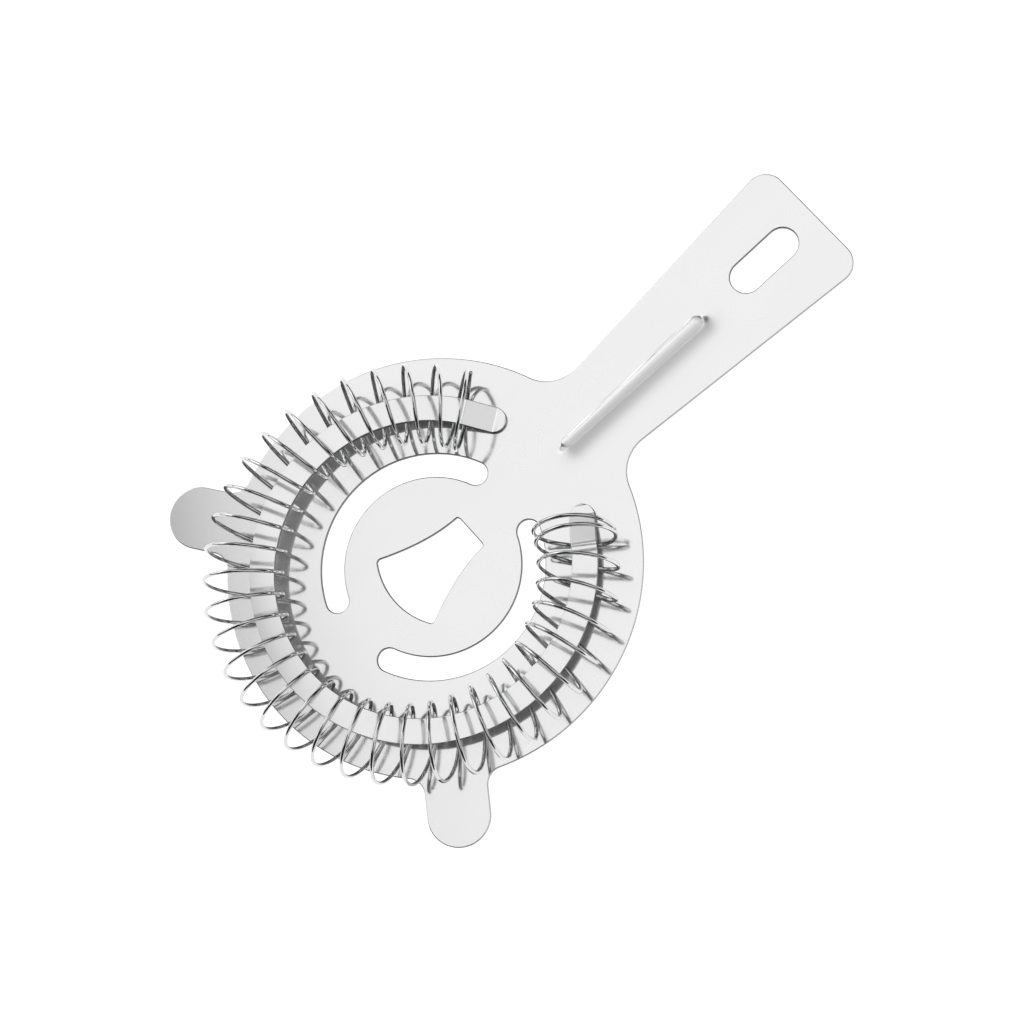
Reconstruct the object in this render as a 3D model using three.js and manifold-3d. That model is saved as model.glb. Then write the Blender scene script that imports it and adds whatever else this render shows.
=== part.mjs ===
// Hawthorne cocktail strainer: a stamped steel plate with a long handle and two prongs,
// a C-shaped carrier strap welded above it, and a coil spring threaded on the strap.
//
// Millimetres. The plate lies flat on z = 0 with its spring side up, +X runs along the
// handle, and the origin is under the middle of the whole outline. The parts are drawn
// about the middle of the round plate, and the group is shifted once at the end.

import * as THREE from 'three';
import { mergeVertices } from 'three/addons/utils/BufferGeometryUtils.js';
import Module from 'manifold-3d';

const wasm = await Module();
wasm.setup();

// ---- Driving dimensions -------------------------------------------------------------

const SHEET = 1.0; // thickness of the plate and of the carrier strap

const DISC = { radius: 42.5 };
const HANDLE = {
  end: 103.1, // from the middle of the disc
  neckX: 49.8, neckHalf: 10.2, // half width where the handle leaves the neck
  tipX: 97.6, tipHalf: 14.0, // half width near the end
  neckFillet: 8, cornerRadius: 4.3,
};
const HANG_HOLE = { x: 89.6, length: 16.2, radius: 3.3 };
const PRONG = { reach: 56.2, radius: 6.4, fromBack: 54.8, fillet: 3.5 };
const ARC_SLOT = { radius: 20.5, half: 2.35, endAngle: 23.1 };
const FAN = {
  tipX: 10.4, tipHalf: 4.0, // straight edge on the handle side
  wideX: -7.5, wideHalf: 8.75, // the two far corners
  waist: new THREE.Vector2(2.8, 4.0), // pulls the long sides inward
  backRadius: 15.5,
};
const RIB = { startX: 36.3, startRadius: 1.05, endX: 71.3, endRadius: 1.65, lift: 0.35 };
const GROOVE = { startRadius: 0.6, endRadius: 0.95, depth: 0.15, lift: 0.2 };

const SPRING = {
  ringRadius: 33.8, ringX: -3.8, // circle that the coil follows
  turnRadius: 7.8, wire: 0.8, // mean radius of a turn, wire diameter
  activeTurns: 33, endTurns: 1, endPitch: 1.25, // the last turn at each end is wound close
  endAngle: 31.2, gap: 0.3, // where the coil stops, and its clearance to the plate
};
// In degrees round the ring: how far the inner side of a turn leads its outer side, and how far
// the top of the last turns tips forward over the feet.
const LEAN = { mean: 0.5, ends: 4.5, back: 3.0, tip: 2.7, tipPower: 9 };
const STRAP = {
  radius: 32.5, centreX: -1.5, width: 5.2,
  bendAngle: 34.6, // where each end of the strap bends down, from the handle
  height: 2.6, rise: 2.4, // underside over the plate at the bends, and the climb to the back
  legRun: 6.2, footLength: 2.4, lap: 1.5,
};

const CURVE_SEGMENTS = 12;
const WIRE_SIDES = 6;
const STEPS_PER_TURN = 16;

// ---- Materials ----------------------------------------------------------------------

const brushedSteel = new THREE.MeshStandardMaterial({
  name: 'brushed_steel', color: 0xdcdddd, roughness: 0.3, metalness: 1,
});
const strapSteel = new THREE.MeshStandardMaterial({
  name: 'strap_steel', color: 0xe2e3e3, roughness: 0.22, metalness: 1,
});
const springWire = new THREE.MeshStandardMaterial({
  name: 'spring_wire', color: 0xcfd1d3, roughness: 0.1, metalness: 1,
});

// ---- Helpers ------------------------------------------------------------------------

const rad = THREE.MathUtils.degToRad;

/** Closed mesh geometry to a solid that can be joined and cut. */
function toSolid(geometry) {
  const bare = geometry.clone();
  bare.deleteAttribute('normal');
  bare.deleteAttribute('uv');
  const merged = mergeVertices(bare, 1e-4);
  return new wasm.Manifold(new wasm.Mesh({
    numProp: 3,
    vertProperties: new Float32Array(merged.attributes.position.array),
    triVerts: new Uint32Array(merged.index.array),
  }));
}

/** Solid back to a mesh geometry. */
function toGeometry(solid) {
  const mesh = solid.getMesh();
  const geometry = new THREE.BufferGeometry();
  geometry.setAttribute('position', new THREE.BufferAttribute(mesh.vertProperties, 3));
  geometry.setIndex(new THREE.BufferAttribute(mesh.triVerts, 1));
  geometry.computeVertexNormals();
  return geometry;
}

function extrude(shape, depth) {
  const options = { depth, bevelEnabled: false, curveSegments: CURVE_SEGMENTS };
  return new THREE.ExtrudeGeometry(shape, options);
}

/** Arc of a circle from one point to another, drawn on the path. */
function arcBetween(path, centre, radius, from, to, clockwise) {
  const a0 = Math.atan2(from.y - centre.y, from.x - centre.x);
  const a1 = Math.atan2(to.y - centre.y, to.x - centre.x);
  path.absarc(centre.x, centre.y, radius, a0, a1, clockwise);
}

const mirrored = (p) => new THREE.Vector2(p.x, -p.y);
const turned = (p, angle) => p.clone().rotateAround(new THREE.Vector2(), angle);

/** A rod with round ends along +X, its radius growing from one end to the other. */
function taperedRod(x0, r0, x1, r1) {
  const arcSteps = 6;
  const profile = [];
  for (let i = 0; i <= arcSteps; i++) {
    const a = (-Math.PI / 2) * (1 - i / arcSteps);
    profile.push(new THREE.Vector2(r0 * Math.cos(a), x0 + r0 * Math.sin(a)));
  }
  for (let i = 0; i <= arcSteps; i++) {
    const a = (Math.PI / 2) * (i / arcSteps);
    profile.push(new THREE.Vector2(r1 * Math.cos(a), x1 + r1 * Math.sin(a)));
  }
  profile[0].x = 0;
  profile[profile.length - 1].x = 0;
  return new THREE.LatheGeometry(profile, 20).rotateZ(-Math.PI / 2);
}

// ---- Strainer plate -----------------------------------------------------------------

/** Where the fillet beside the handle touches the disc and the handle's long side. */
function neckFillet() {
  const side = new THREE.Vector2(HANDLE.tipX - HANDLE.neckX, HANDLE.tipHalf - HANDLE.neckHalf);
  const along = side.clone().normalize();
  const outward = new THREE.Vector2(-along.y, along.x);
  const r = HANDLE.neckFillet;
  const reach = DISC.radius + r;
  // The centre lies r outside the side line, and at this reach from the disc's middle.
  const foot = new THREE.Vector2(HANDLE.neckX, HANDLE.neckHalf).addScaledVector(outward, r);
  const b = foot.dot(along);
  const t = -b + Math.sqrt(b * b - foot.lengthSq() + reach * reach);
  const centre = foot.clone().addScaledVector(along, t);
  return {
    centre,
    onDisc: centre.clone().multiplyScalar(DISC.radius / reach),
    onSide: centre.clone().addScaledVector(outward, -r),
    outward,
    along,
  };
}

/** The rounded corner at the end of the handle. */
function handleCorner(neck) {
  const r = HANDLE.cornerRadius;
  const x = HANDLE.end - r;
  const onLine = new THREE.Vector2(HANDLE.neckX, HANDLE.neckHalf).addScaledVector(neck.outward, -r);
  const y = onLine.y + ((x - onLine.x) * neck.along.y) / neck.along.x;
  const centre = new THREE.Vector2(x, y);
  return {
    centre,
    onSide: centre.clone().addScaledVector(neck.outward, r),
    onEnd: new THREE.Vector2(HANDLE.end, y),
  };
}

/** Where the fillets beside one prong touch, drawn with the prong along +X. */
function prongFillet() {
  const r = PRONG.fillet;
  const reach = DISC.radius + r;
  const y = PRONG.radius + r;
  const centre = new THREE.Vector2(Math.sqrt(reach * reach - y * y), y);
  return {
    centre,
    onDisc: centre.clone().multiplyScalar(DISC.radius / reach),
    onSide: new THREE.Vector2(centre.x, PRONG.radius),
  };
}

function addProng(path, angle) {
  const fillet = prongFillet();
  const at = (p) => turned(p, angle);
  const tip = new THREE.Vector2(PRONG.reach - PRONG.radius, 0);
  const side = new THREE.Vector2(tip.x, PRONG.radius);
  arcBetween(path, at(mirrored(fillet.centre)), PRONG.fillet,
    at(mirrored(fillet.onDisc)), at(mirrored(fillet.onSide)), true);
  arcBetween(path, at(tip), PRONG.radius, at(mirrored(side)), at(side), false);
  arcBetween(path, at(fillet.centre), PRONG.fillet, at(fillet.onSide), at(fillet.onDisc), true);
}

/** Outline of the plate, drawn counter-clockwise from the end of the handle. */
function plateOutline() {
  const neck = neckFillet();
  const corner = handleCorner(neck);
  const fillet = prongFillet();
  const middle = new THREE.Vector2();
  const prongAngle = Math.PI - rad(PRONG.fromBack);
  const first = (p) => turned(p, prongAngle);
  const second = (p) => turned(p, -prongAngle);

  const outline = new THREE.Shape();
  outline.moveTo(HANDLE.end, 0);
  arcBetween(outline, corner.centre, HANDLE.cornerRadius, corner.onEnd, corner.onSide, false);
  arcBetween(outline, neck.centre, HANDLE.neckFillet, neck.onSide, neck.onDisc, true);
  arcBetween(outline, middle, DISC.radius, neck.onDisc, first(mirrored(fillet.onDisc)), false);
  addProng(outline, prongAngle);
  arcBetween(outline, middle, DISC.radius,
    first(fillet.onDisc), second(mirrored(fillet.onDisc)), false);
  addProng(outline, -prongAngle);
  arcBetween(outline, middle, DISC.radius, second(fillet.onDisc), mirrored(neck.onDisc), false);
  arcBetween(outline, mirrored(neck.centre), HANDLE.neckFillet,
    mirrored(neck.onDisc), mirrored(neck.onSide), true);
  arcBetween(outline, mirrored(corner.centre), HANDLE.cornerRadius,
    mirrored(corner.onSide), mirrored(corner.onEnd), false);
  outline.closePath();
  return outline;
}

/** Slot along an arc about the middle of the disc, with round ends. */
function arcSlot(side) {
  const { radius, half } = ARC_SLOT;
  const a0 = rad(ARC_SLOT.endAngle) * side;
  const a1 = (Math.PI - rad(ARC_SLOT.endAngle)) * side;
  const clockwise = side < 0;
  const slot = new THREE.Path();
  slot.absarc(0, 0, radius + half, a0, a1, clockwise);
  slot.absarc(radius * Math.cos(a1), radius * Math.sin(a1), half, a1, a1 + Math.PI * side, clockwise);
  slot.absarc(0, 0, radius - half, a1, a0, !clockwise);
  slot.absarc(radius * Math.cos(a0), radius * Math.sin(a0), half,
    a0 - Math.PI * side, a0, clockwise);
  slot.closePath();
  return slot;
}

/** Fan-shaped opening in the middle of the plate. */
function fanHole() {
  const { tipX, tipHalf, wideX, wideHalf, waist, backRadius } = FAN;
  const backCentre = wideX + Math.sqrt(backRadius ** 2 - wideHalf ** 2);
  const spread = Math.asin(wideHalf / backRadius);
  const fan = new THREE.Path();
  fan.moveTo(tipX, -tipHalf);
  fan.lineTo(tipX, tipHalf);
  fan.quadraticCurveTo(waist.x, waist.y, wideX, wideHalf);
  fan.absarc(backCentre, 0, backRadius, Math.PI - spread, Math.PI + spread, false);
  fan.quadraticCurveTo(waist.x, -waist.y, tipX, -tipHalf);
  return fan;
}

function hangHole() {
  const half = HANG_HOLE.length / 2 - HANG_HOLE.radius;
  const hole = new THREE.Path();
  hole.absarc(HANG_HOLE.x + half, 0, HANG_HOLE.radius, -Math.PI / 2, Math.PI / 2, false);
  hole.absarc(HANG_HOLE.x - half, 0, HANG_HOLE.radius, Math.PI / 2, (3 * Math.PI) / 2, false);
  hole.closePath();
  return hole;
}

/** The stamped sheet, with the stiffening rib pressed up from below. */
function strainerPlate() {
  const outline = plateOutline();
  outline.holes.push(arcSlot(1), arcSlot(-1), fanHole(), hangHole());
  const sheet = toSolid(extrude(outline, SHEET));

  const length = RIB.endX - RIB.startX;
  const rib = taperedRod(0, RIB.startRadius, length, RIB.endRadius);
  rib.rotateY(-Math.atan2(RIB.lift, length)).translate(RIB.startX, 0, SHEET);
  const groove = taperedRod(0, GROOVE.startRadius, length, GROOVE.endRadius);
  groove.rotateY(-Math.atan2(GROOVE.lift, length)).translate(RIB.startX, 0, GROOVE.depth);

  // Only the half of the rib that stands over the sheet is added, so the back stays flat.
  const over = new THREE.BoxGeometry(length * 2, SHEET * 8, SHEET * 4);
  over.translate((RIB.startX + RIB.endX) / 2, 0, SHEET / 2 + SHEET * 2);
  const bead = toSolid(rib).intersect(toSolid(over));
  return toGeometry(sheet.add(bead).subtract(toSolid(groove)));
}

// ---- Spring carrier -----------------------------------------------------------------

/** One end of the strap: a sloping leg and a round foot, drawn along +X from the bend. */
function strapLeg() {
  const { height, legRun, footLength, lap, width } = STRAP;
  const bend = 0.2;
  // The upper bends sit further along, which keeps the leg one sheet thick.
  const lean = SHEET * Math.tan(Math.atan2(height, legRun - bend) / 2);
  const end = legRun + footLength;
  const side = new THREE.Shape();
  side.moveTo(-lap, height);
  side.lineTo(bend, height);
  side.lineTo(legRun, 0);
  side.lineTo(end, 0);
  side.lineTo(end, SHEET);
  side.lineTo(legRun + lean, SHEET);
  side.lineTo(bend + lean, height + SHEET);
  side.lineTo(-lap, height + SHEET);
  side.closePath();
  const bar = extrude(side, width).translate(0, 0, -width / 2).rotateX(Math.PI / 2);

  const half = width / 2;
  const plan = new THREE.Shape();
  plan.moveTo(-lap - 1, -half - 1);
  plan.lineTo(end - half, -half - 1);
  plan.lineTo(end - half, -half);
  plan.absarc(end - half, 0, half, -Math.PI / 2, Math.PI / 2, false);
  plan.lineTo(end - half, half + 1);
  plan.lineTo(-lap - 1, half + 1);
  plan.closePath();
  const trim = extrude(plan, height + 3 * SHEET).translate(0, 0, -SHEET);
  return toSolid(bar).intersect(toSolid(trim));
}

/** C-shaped strap that carries the spring, with a welded foot at each end. */
function springCarrier() {
  const { radius, width, centreX, height, rise } = STRAP;
  const bend = rad(STRAP.bendAngle);
  const flat = new THREE.Shape();
  flat.absarc(0, 0, radius + width / 2, bend, 2 * Math.PI - bend, false);
  flat.absarc(0, 0, radius - width / 2, 2 * Math.PI - bend, bend, true);
  flat.closePath();
  const options = { depth: SHEET, bevelEnabled: false, curveSegments: 40 };
  const ring = new THREE.ExtrudeGeometry(flat, options);

  // The ring climbs from the bends to the back.
  const bendX = radius * Math.cos(bend);
  const climb = Math.atan2(rise, bendX + radius);
  ring.translate(-bendX, 0, 0).rotateY(climb).translate(bendX + centreX, 0, SHEET + height);
  let carrier = toSolid(ring);

  for (const side of [1, -1]) {
    const x = centreX + radius * Math.cos(bend);
    const y = side * radius * Math.sin(bend);
    const heading = side * (bend - Math.PI / 2);
    const leg = toGeometry(strapLeg()).rotateZ(heading).translate(x, y, SHEET);
    carrier = carrier.add(toSolid(leg));
  }
  return toGeometry(carrier);
}

// ---- Coil spring --------------------------------------------------------------------

/** Centre line of the wire: a helix bent round a ring, wound close at both ends. */
class CoilPath extends THREE.Curve {
  constructor() {
    super();
    this.turns = SPRING.activeTurns + 2 * SPRING.endTurns;
    this.arcLengthDivisions = this.turns * 120;
    const endAngle = (SPRING.endTurns * SPRING.endPitch) / SPRING.ringRadius;
    this.stops = [0, SPRING.endTurns, this.turns - SPRING.endTurns, this.turns];
    const first = rad(SPRING.endAngle);
    const last = 2 * Math.PI - first;
    this.angles = [first, first + endAngle, last - endAngle, last];
  }

  /** Angle round the ring after so many turns. */
  ringAngle(turn) {
    const i = turn < this.stops[1] ? 0 : turn < this.stops[2] ? 1 : 2;
    const share = (turn - this.stops[i]) / (this.stops[i + 1] - this.stops[i]);
    return THREE.MathUtils.lerp(this.angles[i], this.angles[i + 1], share);
  }

  getPoint(t, target = new THREE.Vector3()) {
    const turn = t * this.turns;
    const phase = -2 * Math.PI * turn;
    const share = (Math.PI * turn) / this.turns;
    const lean = LEAN.mean - LEAN.ends * Math.cos(share) + LEAN.back * Math.sin(share);
    const tip = LEAN.tip * Math.cos(share) ** LEAN.tipPower * Math.sin(phase);
    const around = this.ringAngle(turn) + rad(lean) * (1 - Math.cos(phase)) / 2 - rad(tip);
    const reach = SPRING.ringRadius + SPRING.turnRadius * Math.cos(phase);
    const height = SHEET + SPRING.gap + SPRING.wire / 2 + SPRING.turnRadius;
    return target.set(
      SPRING.ringX + reach * Math.cos(around),
      reach * Math.sin(around),
      height + SPRING.turnRadius * Math.sin(phase),
    );
  }
}

function coilSpring() {
  const path = new CoilPath();
  const section = new THREE.Shape();
  for (let i = 0; i < WIRE_SIDES; i++) {
    const a = (2 * Math.PI * i) / WIRE_SIDES;
    const x = (SPRING.wire / 2) * Math.cos(a);
    const y = (SPRING.wire / 2) * Math.sin(a);
    if (i === 0) section.moveTo(x, y);
    else section.lineTo(x, y);
  }
  section.closePath();
  const steps = Math.round(path.turns * STEPS_PER_TURN);
  return new THREE.ExtrudeGeometry(section, { steps, bevelEnabled: false, extrudePath: path });
}

// ---- Assembly -----------------------------------------------------------------------

function named(name, geometry, material) {
  const mesh = new THREE.Mesh(geometry, material);
  mesh.name = name;
  return mesh;
}

const strainer = new THREE.Group();
strainer.name = 'hawthorne_strainer';
strainer.add(
  named('strainer_plate', strainerPlate(), brushedSteel),
  named('spring_carrier', springCarrier(), strapSteel),
  named('coil_spring', coilSpring(), springWire),
);

// The origin goes under the middle of the outline.
const middle = new THREE.Box3().setFromObject(strainer).getCenter(new THREE.Vector3());
strainer.position.set(-middle.x, -middle.y, 0);

export default strainer;
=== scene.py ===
"""Looks for a hawthorne cocktail strainer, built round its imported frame.

The plate, the carrier strap and the coil spring are each rebuilt here as a fine mesh in the
place that the frame gives them, and dressed in their own finish. Lengths in the classes are
millimetres about the middle of the round plate, as a maker would draw the part, and
``Drawing`` turns them into metres in the frame.
"""

from __future__ import annotations

import logging
import math
from dataclasses import dataclass
from enum import Enum
from typing import Any, Callable, Iterable, Sequence, Union

import bmesh
import bpy
import numpy as np
from mathutils import Matrix, Vector
from mathutils.geometry import delaunay_2d_cdt

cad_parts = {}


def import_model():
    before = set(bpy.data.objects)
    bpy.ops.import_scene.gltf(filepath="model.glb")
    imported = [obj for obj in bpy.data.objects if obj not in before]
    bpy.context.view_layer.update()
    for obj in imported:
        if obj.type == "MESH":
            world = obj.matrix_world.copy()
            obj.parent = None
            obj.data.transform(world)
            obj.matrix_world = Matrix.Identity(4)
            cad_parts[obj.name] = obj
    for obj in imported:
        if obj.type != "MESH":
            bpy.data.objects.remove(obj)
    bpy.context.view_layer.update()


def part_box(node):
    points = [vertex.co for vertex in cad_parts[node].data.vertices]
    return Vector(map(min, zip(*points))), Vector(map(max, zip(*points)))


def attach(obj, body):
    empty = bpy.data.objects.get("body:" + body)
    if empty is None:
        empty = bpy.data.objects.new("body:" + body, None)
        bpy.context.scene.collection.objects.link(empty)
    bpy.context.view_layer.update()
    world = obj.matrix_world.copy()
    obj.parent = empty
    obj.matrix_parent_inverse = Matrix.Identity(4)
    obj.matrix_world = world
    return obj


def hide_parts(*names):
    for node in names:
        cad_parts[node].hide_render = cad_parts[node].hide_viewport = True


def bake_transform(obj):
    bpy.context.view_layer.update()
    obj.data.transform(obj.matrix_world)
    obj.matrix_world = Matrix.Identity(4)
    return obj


LOG = logging.getLogger("strainer")
MM = 0.001
TURN = 2.0 * math.pi
MIRROR = np.array([1.0, -1.0])

Triple = tuple[float, float, float]
Colour = Triple
Points = np.ndarray


class Body(Enum):
    """The rigid bodies of the frame."""

    PLATE = "plate"
    SPRING = "spring"


class Slot(Enum):
    """The material slots of the record."""

    PLATE = "plate_steel"
    STRAP = "strap_steel"
    SPRING = "spring_wire"


class Mark(Enum):
    """Numbers stored on a mesh's points for its finish to read."""

    CUT = "cut"
    PRESSED = "pressed"
    CREST = "crest"
    ALONG = "along"
    AROUND = "around"


# ---- Shader expressions --------------------------------------------------------------


class Value:
    """A number that runs through a shader, so that Python operators can work on it."""

    def __init__(self, book: "NodeBook", socket: bpy.types.NodeSocket) -> None:
        """Wrap one output socket of a node book."""
        self.book = book
        self.socket = socket

    def __add__(self, other: "Operand") -> "Value":
        """Sum."""
        return self.book.math("ADD", self, other)

    def __radd__(self, other: "Operand") -> "Value":
        """Sum, with the number on the left."""
        return self.book.math("ADD", other, self)

    def __sub__(self, other: "Operand") -> "Value":
        """Difference."""
        return self.book.math("SUBTRACT", self, other)

    def __rsub__(self, other: "Operand") -> "Value":
        """Difference, with the number on the left."""
        return self.book.math("SUBTRACT", other, self)

    def __mul__(self, other: "Operand") -> "Value":
        """Product."""
        return self.book.math("MULTIPLY", self, other)

    def __rmul__(self, other: "Operand") -> "Value":
        """Product, with the number on the left."""
        return self.book.math("MULTIPLY", other, self)

    def clamped(self) -> "Value":
        """The value held between 0 and 1."""
        return self.book.math("ADD", self, 0.0, use_clamp=True)

    def smooth(self, low: float, high: float) -> "Value":
        """Ease from 0 at one value to 1 at another.

        Args:
            low: value that gives 0.
            high: value that gives 1.

        Returns:
            The eased value.
        """
        settings = {"interpolation_type": "SMOOTHSTEP"}
        inputs = {"Value": self, "From Min": low, "From Max": high, "To Min": 0.0, "To Max": 1.0}
        return self.book.value("ShaderNodeMapRange", settings, inputs, "Result")


Operand = Union[Value, float]


class NodeBook:
    """Writes the nodes of one material or of the surroundings."""

    def __init__(self, owner: Union[bpy.types.Material, bpy.types.World]) -> None:
        """Start with an empty tree.

        Args:
            owner: the material or world that the nodes belong to.
        """
        owner.use_nodes = True
        self.owner = owner
        self.tree = owner.node_tree
        self.tree.nodes.clear()

    @classmethod
    def of_material(cls, name: str) -> "NodeBook":
        """Start a new material's nodes."""
        return cls(bpy.data.materials.new(name))

    def node(self, kind: str, settings: dict[str, Any] | None = None,
             inputs: dict[str | int, Any] | None = None) -> bpy.types.Node:
        """Add a node, set its options, then fill or link its sockets.

        Args:
            kind: the node's type name.
            settings: its options.
            inputs: socket name or number to a number, a colour, a Value or a socket.

        Returns:
            The new node.
        """
        made = self.tree.nodes.new(kind)
        for key, setting in (settings or {}).items():
            setattr(made, key, setting)
        for key, given in (inputs or {}).items():
            self._fill(made.inputs[key], given)
        return made

    def _fill(self, socket: bpy.types.NodeSocket, given: Any) -> None:
        """Link a Value or a socket, or set a plain number or colour.

        Args:
            socket: the input to fill.
            given: a Value, a socket, a number or a colour.
        """
        if isinstance(given, Value):
            self.tree.links.new(given.socket, socket)
        elif isinstance(given, bpy.types.NodeSocket):
            self.tree.links.new(given, socket)
        elif socket.type == "RGBA" and len(given) == 3:
            socket.default_value = (*given, 1.0)
        else:
            socket.default_value = given

    def value(self, kind: str, settings: dict[str, Any] | None, inputs: dict[str | int, Any],
              output: str | int) -> Value:
        """Add a node and wrap one of its outputs."""
        return Value(self, self.node(kind, settings, inputs).outputs[output])

    def math(self, operation: str, a: Operand, b: Operand, use_clamp: bool = False) -> Value:
        """One Math node, its result held between 0 and 1 if asked."""
        settings = {"operation": operation, "use_clamp": use_clamp}
        return self.value("ShaderNodeMath", settings, {0: a, 1: b}, 0)

    def place(self) -> bpy.types.NodeSocket:
        """Position on the object, in metres in the row frame."""
        return self.node("ShaderNodeTexCoord").outputs["Object"]

    def stretched(self, place: bpy.types.NodeSocket, scale: Triple) -> bpy.types.NodeSocket:
        """Scale a position along each axis before it reaches a texture."""
        inputs = {"Vector": place, "Scale": scale}
        return self.node("ShaderNodeMapping", {"vector_type": "POINT"}, inputs).outputs["Vector"]

    def noise(self, place: bpy.types.NodeSocket, scale: float, detail: float = 2.0,
              roughness: float = 0.5) -> Value:
        """Soft noise between 0 and 1, with so many grains per unit and octaves."""
        inputs = {"Vector": place, "Scale": scale, "Detail": detail, "Roughness": roughness}
        return self.value("ShaderNodeTexNoise", None, inputs, "Fac")

    def mark(self, mark: Mark) -> Value:
        """A number stored on the mesh's points."""
        return self.value("ShaderNodeAttribute", {"attribute_name": mark.value}, {}, "Fac")

    def mix(self, factor: Operand, a: Any, b: Any) -> bpy.types.NodeSocket:
        """Blend two colours, 0 giving the first and 1 the second."""
        made = self.node("ShaderNodeMix", {"data_type": "RGBA"}, {0: factor, 6: a, 7: b})
        return made.outputs[2]

    def bump(self, height: Value, distance: float, strength: float) -> bpy.types.NodeSocket:
        """Turn a height of 0 to 1, so deep in metres, into a surface normal."""
        inputs = {"Height": height, "Distance": distance, "Strength": strength}
        return self.node("ShaderNodeBump", None, inputs).outputs["Normal"]

    def principled(self, **sockets: Any) -> bpy.types.NodeSocket:
        """One Principled shader, its sockets named with underscores for spaces."""
        inputs = {name.replace("_", " "): given for name, given in sockets.items()}
        return self.node("ShaderNodeBsdfPrincipled", None, inputs).outputs["BSDF"]

    def blend_shaders(self, factor: Operand, a: bpy.types.NodeSocket,
                      b: bpy.types.NodeSocket) -> bpy.types.NodeSocket:
        """Mix two shaders, 0 giving the first and 1 the second."""
        return self.node("ShaderNodeMixShader", None, {0: factor, 1: a, 2: b}).outputs[0]

    def surface(self, shader: bpy.types.NodeSocket) -> Any:
        """End the tree in a shader, and give back the material or world.

        Args:
            shader: the shader's output.

        Returns:
            The material or world.
        """
        kind = "World" if isinstance(self.owner, bpy.types.World) else "Material"
        self.node(f"ShaderNodeOutput{kind}", None, {"Surface": shader})
        return self.owner


# ---- Finishes ------------------------------------------------------------------------


@dataclass(frozen=True)
class SatinSteel:
    """Rolled stainless sheet: a near mirror under a thin haze, softer where pressed or cut, its
    cut walls darkened as painted shade and its rib crest lightened as a painted highlight.
    """

    name: str
    colour: Colour = (0.87, 0.87, 0.87)
    cut_and_shade_colour: Colour = (0.22, 0.22, 0.23)
    crest_frost_and_highlight_colour: Colour = (0.97, 0.97, 0.97)
    weld_colour: Colour = (0.62, 0.58, 0.54)
    tone_spread: float = 0.3
    tone_depth: float = 0.035
    frost: float = 0.85
    crest_share: float = 0.6
    gloss: float = 0.085
    uneven: float = 0.02
    pressed_gloss: float = 0.16
    cut_gloss: float = 0.3
    weld_gloss: float = 0.1
    haze: float = 0.5
    haze_share: float = 0.26
    haze_spread: float = 0.1
    pressed_share: float = 0.3
    grain_size: Triple = (60.0, 5200.0, 5200.0)
    grain_depth: float = 0.0000008
    grain_strength: float = 0.9
    broad_size: Triple = (24.0, 470.0, 400.0)
    cloud_size: float = 45.0
    welds: tuple[tuple[float, float], ...] = ()
    weld_radius: float = 1.3 * MM
    weld_core: float = 0.55
    weld_tint: float = 0.4

    def material(self) -> bpy.types.Material:
        """Build the finish.

        Returns:
            The material.
        """
        book = NodeBook.of_material(self.name)
        place = book.place()
        grain = book.noise(book.stretched(place, self.grain_size), 1.0, 3.0, 0.6) - 0.5
        broad = book.noise(book.stretched(place, self.broad_size), 1.0) - 0.5
        cloud = book.noise(place, self.cloud_size, 3.0, 0.55) - 0.5
        cut = book.mark(Mark.CUT).clamped()
        pressed = book.mark(Mark.PRESSED).clamped()
        crest = book.mark(Mark.CREST).clamped()
        weld = self._weld_marks(book, place)

        tone = ((grain + broad + cloud) * self.tone_spread + 0.5).clamped()
        light = tuple(min(1.0, c * (1.0 + self.tone_depth)) for c in self.colour)
        dark = tuple(c * (1.0 - self.tone_depth) for c in self.colour)
        tinted = book.mix(weld * self.weld_tint, book.mix(tone, dark, light), self.weld_colour)
        # The rib's crest is frosted, a real matt finish, and painted near white: a painted
        # highlight standing for its pale lit crest.
        frosted = book.mix(crest, tinted, self.crest_frost_and_highlight_colour)
        # The cut mark darkens the sheared walls: partly a rougher cut finish, partly painted shade
        # standing for walls that lie in shade.
        colour = book.mix(cut, frosted, self.cut_and_shade_colour)

        gloss = ((grain + cloud) * self.uneven + self.gloss + weld * self.weld_gloss
                 + pressed * self.pressed_gloss + cut * self.cut_gloss).clamped()
        normal = book.bump(grain, self.grain_depth, self.grain_strength)
        mirror = book.principled(Base_Color=colour, Metallic=1.0, Roughness=gloss, Normal=normal)
        satin = book.principled(Base_Color=colour, Metallic=1.0 - crest * self.frost,
                                Roughness=self.haze, Normal=normal)
        share = (cloud * self.haze_spread + self.haze_share + pressed * self.pressed_share
                 + crest * self.crest_share).clamped()
        return book.surface(book.blend_shaders(share, mirror, satin))

    def _weld_marks(self, book: NodeBook, place: bpy.types.NodeSocket) -> Operand:
        """Soft round marks where the spot welder touched, 0 elsewhere.

        Args:
            book: the finish's nodes.
            place: position on the object.

        Returns:
            1 in the middle of each mark.
        """
        flat = book.node("ShaderNodeVectorMath", {"operation": "MULTIPLY"},
                         {0: place, 1: (1.0, 1.0, 0.0)}).outputs[0]
        marks: Operand = 0.0
        for x, y in self.welds:
            away = book.value("ShaderNodeVectorMath", {"operation": "DISTANCE"},
                              {0: flat, 1: (x, y, 0.0)}, "Value")
            marks = away.smooth(self.weld_radius, self.weld_radius * self.weld_core) + marks
        return marks


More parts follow.
